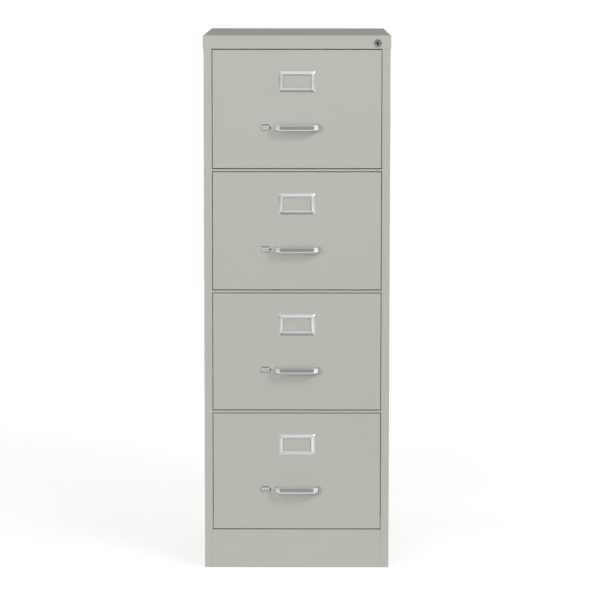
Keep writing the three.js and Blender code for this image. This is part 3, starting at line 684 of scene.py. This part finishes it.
for number, piece in zip(DRAWERS, springs):
    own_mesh(piece)

# ---------------------------------------------------------------- lock
# A cylinder lock in the lid's right corner turns a crank that lifts a flat bar behind the right
# stile. A lug on the bar then stands in front of each drawer's catch. The lock's barrel has a
# raised, dished rim and is held by a nut behind the header rail.


def nickel_plate():
    # Nickel plate over die-cast zinc, as it comes from the barrel: a dull, slightly violet shine,
    # a little uneven over 4 mm. From 1 to 3 mm behind the lid's skirt its colour turns dark, as
    # painted shade deep in the lock's bore.
    material, tree = blank("dull_nickel_plate")
    place = add(tree, "ShaderNodeTexCoord").outputs["Object"]
    cloud = add(tree, "ShaderNodeTexNoise", {"Scale": scale_of(4), "Detail": 3.0}, {"Vector": place})
    shade = add(tree, "ShaderNodeMix", {
        "data_type": "RGBA", COLOUR_A: linear("94929a"), COLOUR_B: linear("a7a5ab")}, {
        FACTOR: cloud.outputs["Fac"]})
    inward = add(tree, "ShaderNodeSeparateXYZ", links={0: place})
    # Painted shade deep in the lock's bore: the colour goes dark from 1 to 3 mm behind the lid's skirt.
    recess_shade_mask = add(tree, "ShaderNodeMapRange", {"From Min": face_y + 0.001, "From Max": face_y + 0.003}, {
        "Value": inward.outputs["Y"]})
    painted_recess_shade = add(tree, "ShaderNodeMix", {"data_type": "RGBA", COLOUR_B: linear("2e2c30")}, {
        FACTOR: recess_shade_mask.outputs["Result"], COLOUR_A: shade.outputs[COLOUR]})
    gloss = add(tree, "ShaderNodeMapRange", {"To Min": 0.22, "To Max": 0.34}, {
        "Value": cloud.outputs["Fac"]})
    plate = add(tree, "ShaderNodeBsdfPrincipled", {"Metallic": 1.0}, {
        "Base Color": painted_recess_shade.outputs[COLOUR], "Roughness": gloss.outputs["Result"]})
    add(tree, "ShaderNodeOutputMaterial", links={"Surface": plate.outputs["BSDF"]})
    return material


nickel = nickel_plate()

RIM_RADIUS = 0.010
RIM_HEIGHT = 0.0027
RIM_ROUND = 0.0009
RIM_OVERLAP = 0.001
# The rim is dished by three equal steps inwards, each of them deeper than the last.
DISH_STEP = 0.0006
DISH_DEPTHS = (0.0001, 0.0004, 0.0008)
BARREL_RADIUS = 0.0086
BORE_RADIUS = 0.0068
NUT_RADIUS = 0.0098
NUT_FRONT = 0.0013
NUT_BACK = 0.0043


def lock_rod(radius, y0, y1, sides=64):
    return rod(radius, lock_x, lock_z, y0, y1, sides)


low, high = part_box("lock_housing")
rim_back = low.y + RIM_HEIGHT
barrel = lock_rod(BARREL_RADIUS, rim_back - RIM_OVERLAP, high.y)
nut = lock_rod(NUT_RADIUS, face_y + NUT_FRONT, face_y + NUT_BACK, sides=6)
rim = lock_rod(RIM_RADIUS, low.y, rim_back)
bpy.ops.object.mode_set(mode="EDIT")
pick(rim, "faces", front_face)
bpy.ops.mesh.bevel(offset=RIM_ROUND, segments=4, affect="EDGES")
pick(rim, "faces", lambda face: face.normal.y < -0.999 and len(face.verts) > 8)
for depth in DISH_DEPTHS:
    bpy.ops.mesh.inset(thickness=DISH_STEP, depth=-depth)
bpy.ops.object.mode_set(mode="OBJECT")
combine(rim, "UNION", (barrel, nut))
cut_out(rim, lock_rod(BORE_RADIUS, low.y - PAST, high.y + PAST))
settle(rim, "lock_barrel", nickel, "case", "bright_chrome", "lock_housing", angle=40)

PLUG_RADIUS = 0.0065
PLUG_RECESS = 0.003
KEYWAY_HALF_WIDTH = 0.0012
KEYWAY_HALF_HEIGHT = 0.0045
KEYWAY_RADIUS = 0.0026
KEYWAY_DEPTH = 0.012
CRANK_DEPTH = 0.0244
CRANK_SHEET = 0.003
CRANK_HUB_RADIUS = 0.0064
CRANK_TIP_RADIUS = 0.0034
CRANK_REACH = 0.01732
CRANK_DROP = 0.010
PIN_RADIUS = 0.002

low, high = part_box("lock_plug")
crank_y = face_y + CRANK_DEPTH
crank_end = crank_y + CRANK_SHEET
pin_x, pin_z = lock_x + CRANK_REACH, lock_z - CRANK_DROP
plug = lock_rod(PLUG_RADIUS, low.y + PLUG_RECESS, crank_end)
bpy.ops.object.mode_set(mode="EDIT")
pick(plug, "faces", front_face)
bpy.ops.mesh.bevel(offset=SOFT_EDGE, segments=2, affect="EDGES")
bpy.ops.object.mode_set(mode="OBJECT")
keyway_y = (low.y - JUST_PAST, low.y + KEYWAY_DEPTH)
keyway = block_about(lock_x, lock_z, KEYWAY_HALF_WIDTH, KEYWAY_HALF_HEIGHT, *keyway_y)
cut_out(plug, keyway, lock_rod(KEYWAY_RADIUS, *keyway_y, sides=24))
crank = lock_rod(CRANK_HUB_RADIUS, crank_y, crank_end, sides=32)
join_to(crank, rod(CRANK_TIP_RADIUS, pin_x, pin_z, crank_y, crank_end))
bpy.ops.object.mode_set(mode="EDIT")
bpy.ops.mesh.select_all(action="SELECT")
bpy.ops.mesh.convex_hull()
bpy.ops.object.mode_set(mode="OBJECT")
join_to(plug, crank, rod(PIN_RADIUS, pin_x, pin_z, crank_y, high.y, sides=20))
settle(plug, "keyed_plug", nickel, "lock_plug", "bright_chrome", "lock_plug", angle=40)

dress(zinc_upright, "lock_bar", *(f"lock_lug_{number}" for number in DRAWERS))

# ---------------------------------------------------------------- room
# A floor of pale paper and a pale surround, lit softly by a key lamp from the upper right, a broad
# lamp in front and weaker ones at the sides and behind. Bright metal mirrors the surround and a
# glint of the key lamp, and the lamps themselves don't show in it.

FLOOR_GLOW = 0.6
FLOOR_MIDDLE = (0, 0.9, 0)
FLOOR_SIZE = (4.4, 3.4, 1)
WHITE = (1, 1, 1, 1)
VALUE_A, VALUE_B, VALUE = 2, 3, 0  # a Mix node's sockets for plain values


def grey(level):
    return (level, level, level, 1)


def pale_floor():
    # Matt pale paper. The camera and the bright metal see it as the same white as the surround.
    material, tree = blank("pale_paper_floor")
    ray = add(tree, "ShaderNodeLightPath")
    seen = add(tree, "ShaderNodeMath", {"operation": "MAXIMUM"}, {
        0: ray.outputs["Is Camera Ray"], 1: ray.outputs["Is Glossy Ray"]})
    glow = add(tree, "ShaderNodeMath", {"operation": "MULTIPLY", 1: FLOOR_GLOW}, {0: seen.outputs[0]})
    paper = add(tree, "ShaderNodeBsdfPrincipled", {
        "Base Color": grey(0.56), "Roughness": 1.0, "Emission Color": WHITE}, {
        "Emission Strength": glow.outputs[0]})
    add(tree, "ShaderNodeOutputMaterial", links={"Surface": paper.outputs["BSDF"]})
    return material


bpy.ops.object.select_all(action="DESELECT")
bpy.ops.mesh.primitive_plane_add(size=1, location=FLOOR_MIDDLE)
floor = bpy.context.object
floor.scale = FLOOR_SIZE
bpy.ops.object.transform_apply(location=True, rotation=True, scale=True)
floor.name = "floor"
floor.data.materials.append(pale_floor())

# The surround's shade by height, as the sine of the angle above the level.
HEIGHT_SHADES = (
    (-1.0, 0.4), (-0.97, 0.5), (-0.93, 1.2), (-0.79, 1.2), (-0.71, 0.38), (-0.55, 0.38), (-0.5, 0.74),
    (-0.15, 0.78), (-0.05, 0.58), (0.1, 0.64), (0.4, 0.84), (0.7, 0.98), (0.9, 0.98), (0.96, 0.3),
    (1.0, 0.3),
)
CARDS = {"From Min": 0.57, "From Max": 0.66, "To Min": 1.3, "To Max": 1.9}
RIGHT_BRIGHTER = 0.3
DARK_STAND = 0.46
STAND_EDGE = {"From Min": 0.10, "From Max": 0.20}
STAND_SHAPE = (0.5, 0, 0.8)
STAND_LIFT = (0, 0, 0.04)
BEHIND = 0.17
BEHIND_EDGE = {"From Min": 0.2, "From Max": 0.9}
TO_KEY_LAMP = (0.52, -0.75, 0.40)
GLINT = {"From Min": 0.982, "From Max": 0.990, "To Max": 4.0}
SOFT_LIGHT = 0.24

world = bpy.data.worlds.new("pale_surround")
bpy.context.scene.world = world
world.use_nodes = True
tree = world.node_tree
tree.nodes.clear()
ray = add(tree, "ShaderNodeLightPath")
way = add(tree, "ShaderNodeTexCoord").outputs["Generated"]
parts = add(tree, "ShaderNodeSeparateXYZ", links={0: way})
# Shades by height, brighter on the right, with bright cards standing at both sides.
height = add(tree, "ShaderNodeMapRange", {"From Min": -1.0, "From Max": 1.0}, {
    "Value": parts.outputs["Z"]})
shades = add(tree, "ShaderNodeValToRGB", links={"Fac": height.outputs["Result"]})
stops = shades.color_ramp.elements
for sine, shade in HEIGHT_SHADES[1:-1]:
    stops.new((sine + 1) / 2).color = grey(shade)
stops[0].color = grey(HEIGHT_SHADES[0][1])
stops[-1].color = grey(HEIGHT_SHADES[-1][1])
aside = add(tree, "ShaderNodeMath", {"operation": "ABSOLUTE"}, {0: parts.outputs["X"]})
cards = add(tree, "ShaderNodeMapRange", CARDS, {"Value": aside.outputs[0]})
rightwards = add(tree, "ShaderNodeMath", {"operation": "MULTIPLY_ADD", 1: RIGHT_BRIGHTER}, {
    0: parts.outputs["X"], 2: cards.outputs["Result"]})
lit = add(tree, "ShaderNodeMath", {"operation": "MULTIPLY"}, {
    0: shades.outputs["Color"], 1: rightwards.outputs[0]})
# A darker stand straight in front, wider than high, and the dim end of the room behind the cabinet.
squeezed = add(tree, "ShaderNodeVectorMath", {
    "operation": "MULTIPLY_ADD", 1: STAND_SHAPE, 2: STAND_LIFT}, {0: way})
off_middle = add(tree, "ShaderNodeVectorMath", {"operation": "LENGTH"}, {0: squeezed.outputs["Vector"]})
beside_stand = add(tree, "ShaderNodeMapRange", STAND_EDGE, {"Value": off_middle.outputs["Value"]})
ahead = add(tree, "ShaderNodeMix", {"data_type": "FLOAT", VALUE_A: DARK_STAND}, {
    FACTOR: beside_stand.outputs["Result"], VALUE_B: lit.outputs[0]})
backwards = add(tree, "ShaderNodeMapRange", BEHIND_EDGE, {"Value": parts.outputs["Y"]})
room = add(tree, "ShaderNodeMix", {"data_type": "FLOAT", VALUE_B: BEHIND}, {
    FACTOR: backwards.outputs["Result"], VALUE_A: ahead.outputs[VALUE]})
# The key lamp's glint.
to_key = add(tree, "ShaderNodeVectorMath", {"operation": "DOT_PRODUCT", 1: TO_KEY_LAMP}, {0: way})
glint = add(tree, "ShaderNodeMapRange", GLINT, {"Value": to_key.outputs["Value"]})
room_and_key = add(tree, "ShaderNodeMath", {"operation": "ADD"}, {
    0: room.outputs[VALUE], 1: glint.outputs["Result"]})
# Bright metal sees the room, the camera and clear pieces see plain white, and matt surfaces get
# an even, soft light.
mirrored = add(tree, "ShaderNodeMix", {"data_type": "FLOAT", VALUE_A: SOFT_LIGHT}, {
    FACTOR: ray.outputs["Is Glossy Ray"], VALUE_B: room_and_key.outputs[0]})
plain = add(tree, "ShaderNodeMath", {"operation": "MAXIMUM"}, {
    0: ray.outputs["Is Camera Ray"], 1: ray.outputs["Is Transmission Ray"]})
level = add(tree, "ShaderNodeMix", {"data_type": "FLOAT", VALUE_B: 1.0}, {
    FACTOR: plain.outputs[0], VALUE_A: mirrored.outputs[VALUE]})
backdrop = add(tree, "ShaderNodeBackground", {"Color": WHITE}, {"Strength": level.outputs[VALUE]})
add(tree, "ShaderNodeOutputWorld", links={"Surface": backdrop.outputs["Background"]})


def lamp(name, place, aim_height, size, watts):
    """A soft lamp that points at the cabinet's middle line, at a height above the floor."""
    data = bpy.data.lights.new(name, "AREA")
    data.shape = "RECTANGLE"
    data.size, data.size_y = size
    data.energy = watts
    light = bpy.data.objects.new(name, data)
    bpy.context.scene.collection.objects.link(light)
    light.location = place
    beam = Vector((0, 0, aim_height)) - Vector(place)
    light.rotation_euler = beam.to_track_quat("-Z", "Y").to_euler()
    light.visible_glossy = False


lamp("key_lamp", (3.4, -4.9, 4.2), 0.7, (2.6, 2.2), 135)
lamp("front_lamp", (-1.8, -6.2, 1.7), 0.75, (4.0, 3.0), 211)
lamp("left_lamp", (-5.0, 0.5, 1.4), 0.7, (3.0, 2.5), 74)
lamp("right_lamp", (5.0, 0.5, 1.4), 0.7, (3.0, 2.5), 66)
lamp("back_lamp", (0, 5.5, 1.6), 0.7, (3.0, 2.5), 112)

# The camera stands seven metres in front, at the height of the eyes, and looks a little down.
CAMERA_PLACE = (0.017, -7.454, 1.516)
CAMERA_DIP = 6.757
CAMERA_ROLL = -0.045
CAMERA_TURN = 0.080

camera_data = bpy.data.cameras.new("camera")
camera_data.sensor_width = 36
camera_data.lens = 174.84
camera_data.clip_end = 100
camera = bpy.data.objects.new("camera", camera_data)
bpy.context.scene.collection.objects.link(camera)
camera.location = CAMERA_PLACE
camera.rotation_euler = (radians(90 - CAMERA_DIP), radians(CAMERA_ROLL), radians(CAMERA_TURN))
bpy.context.scene.camera = camera

bpy.context.scene.view_settings.view_transform = "Standard"
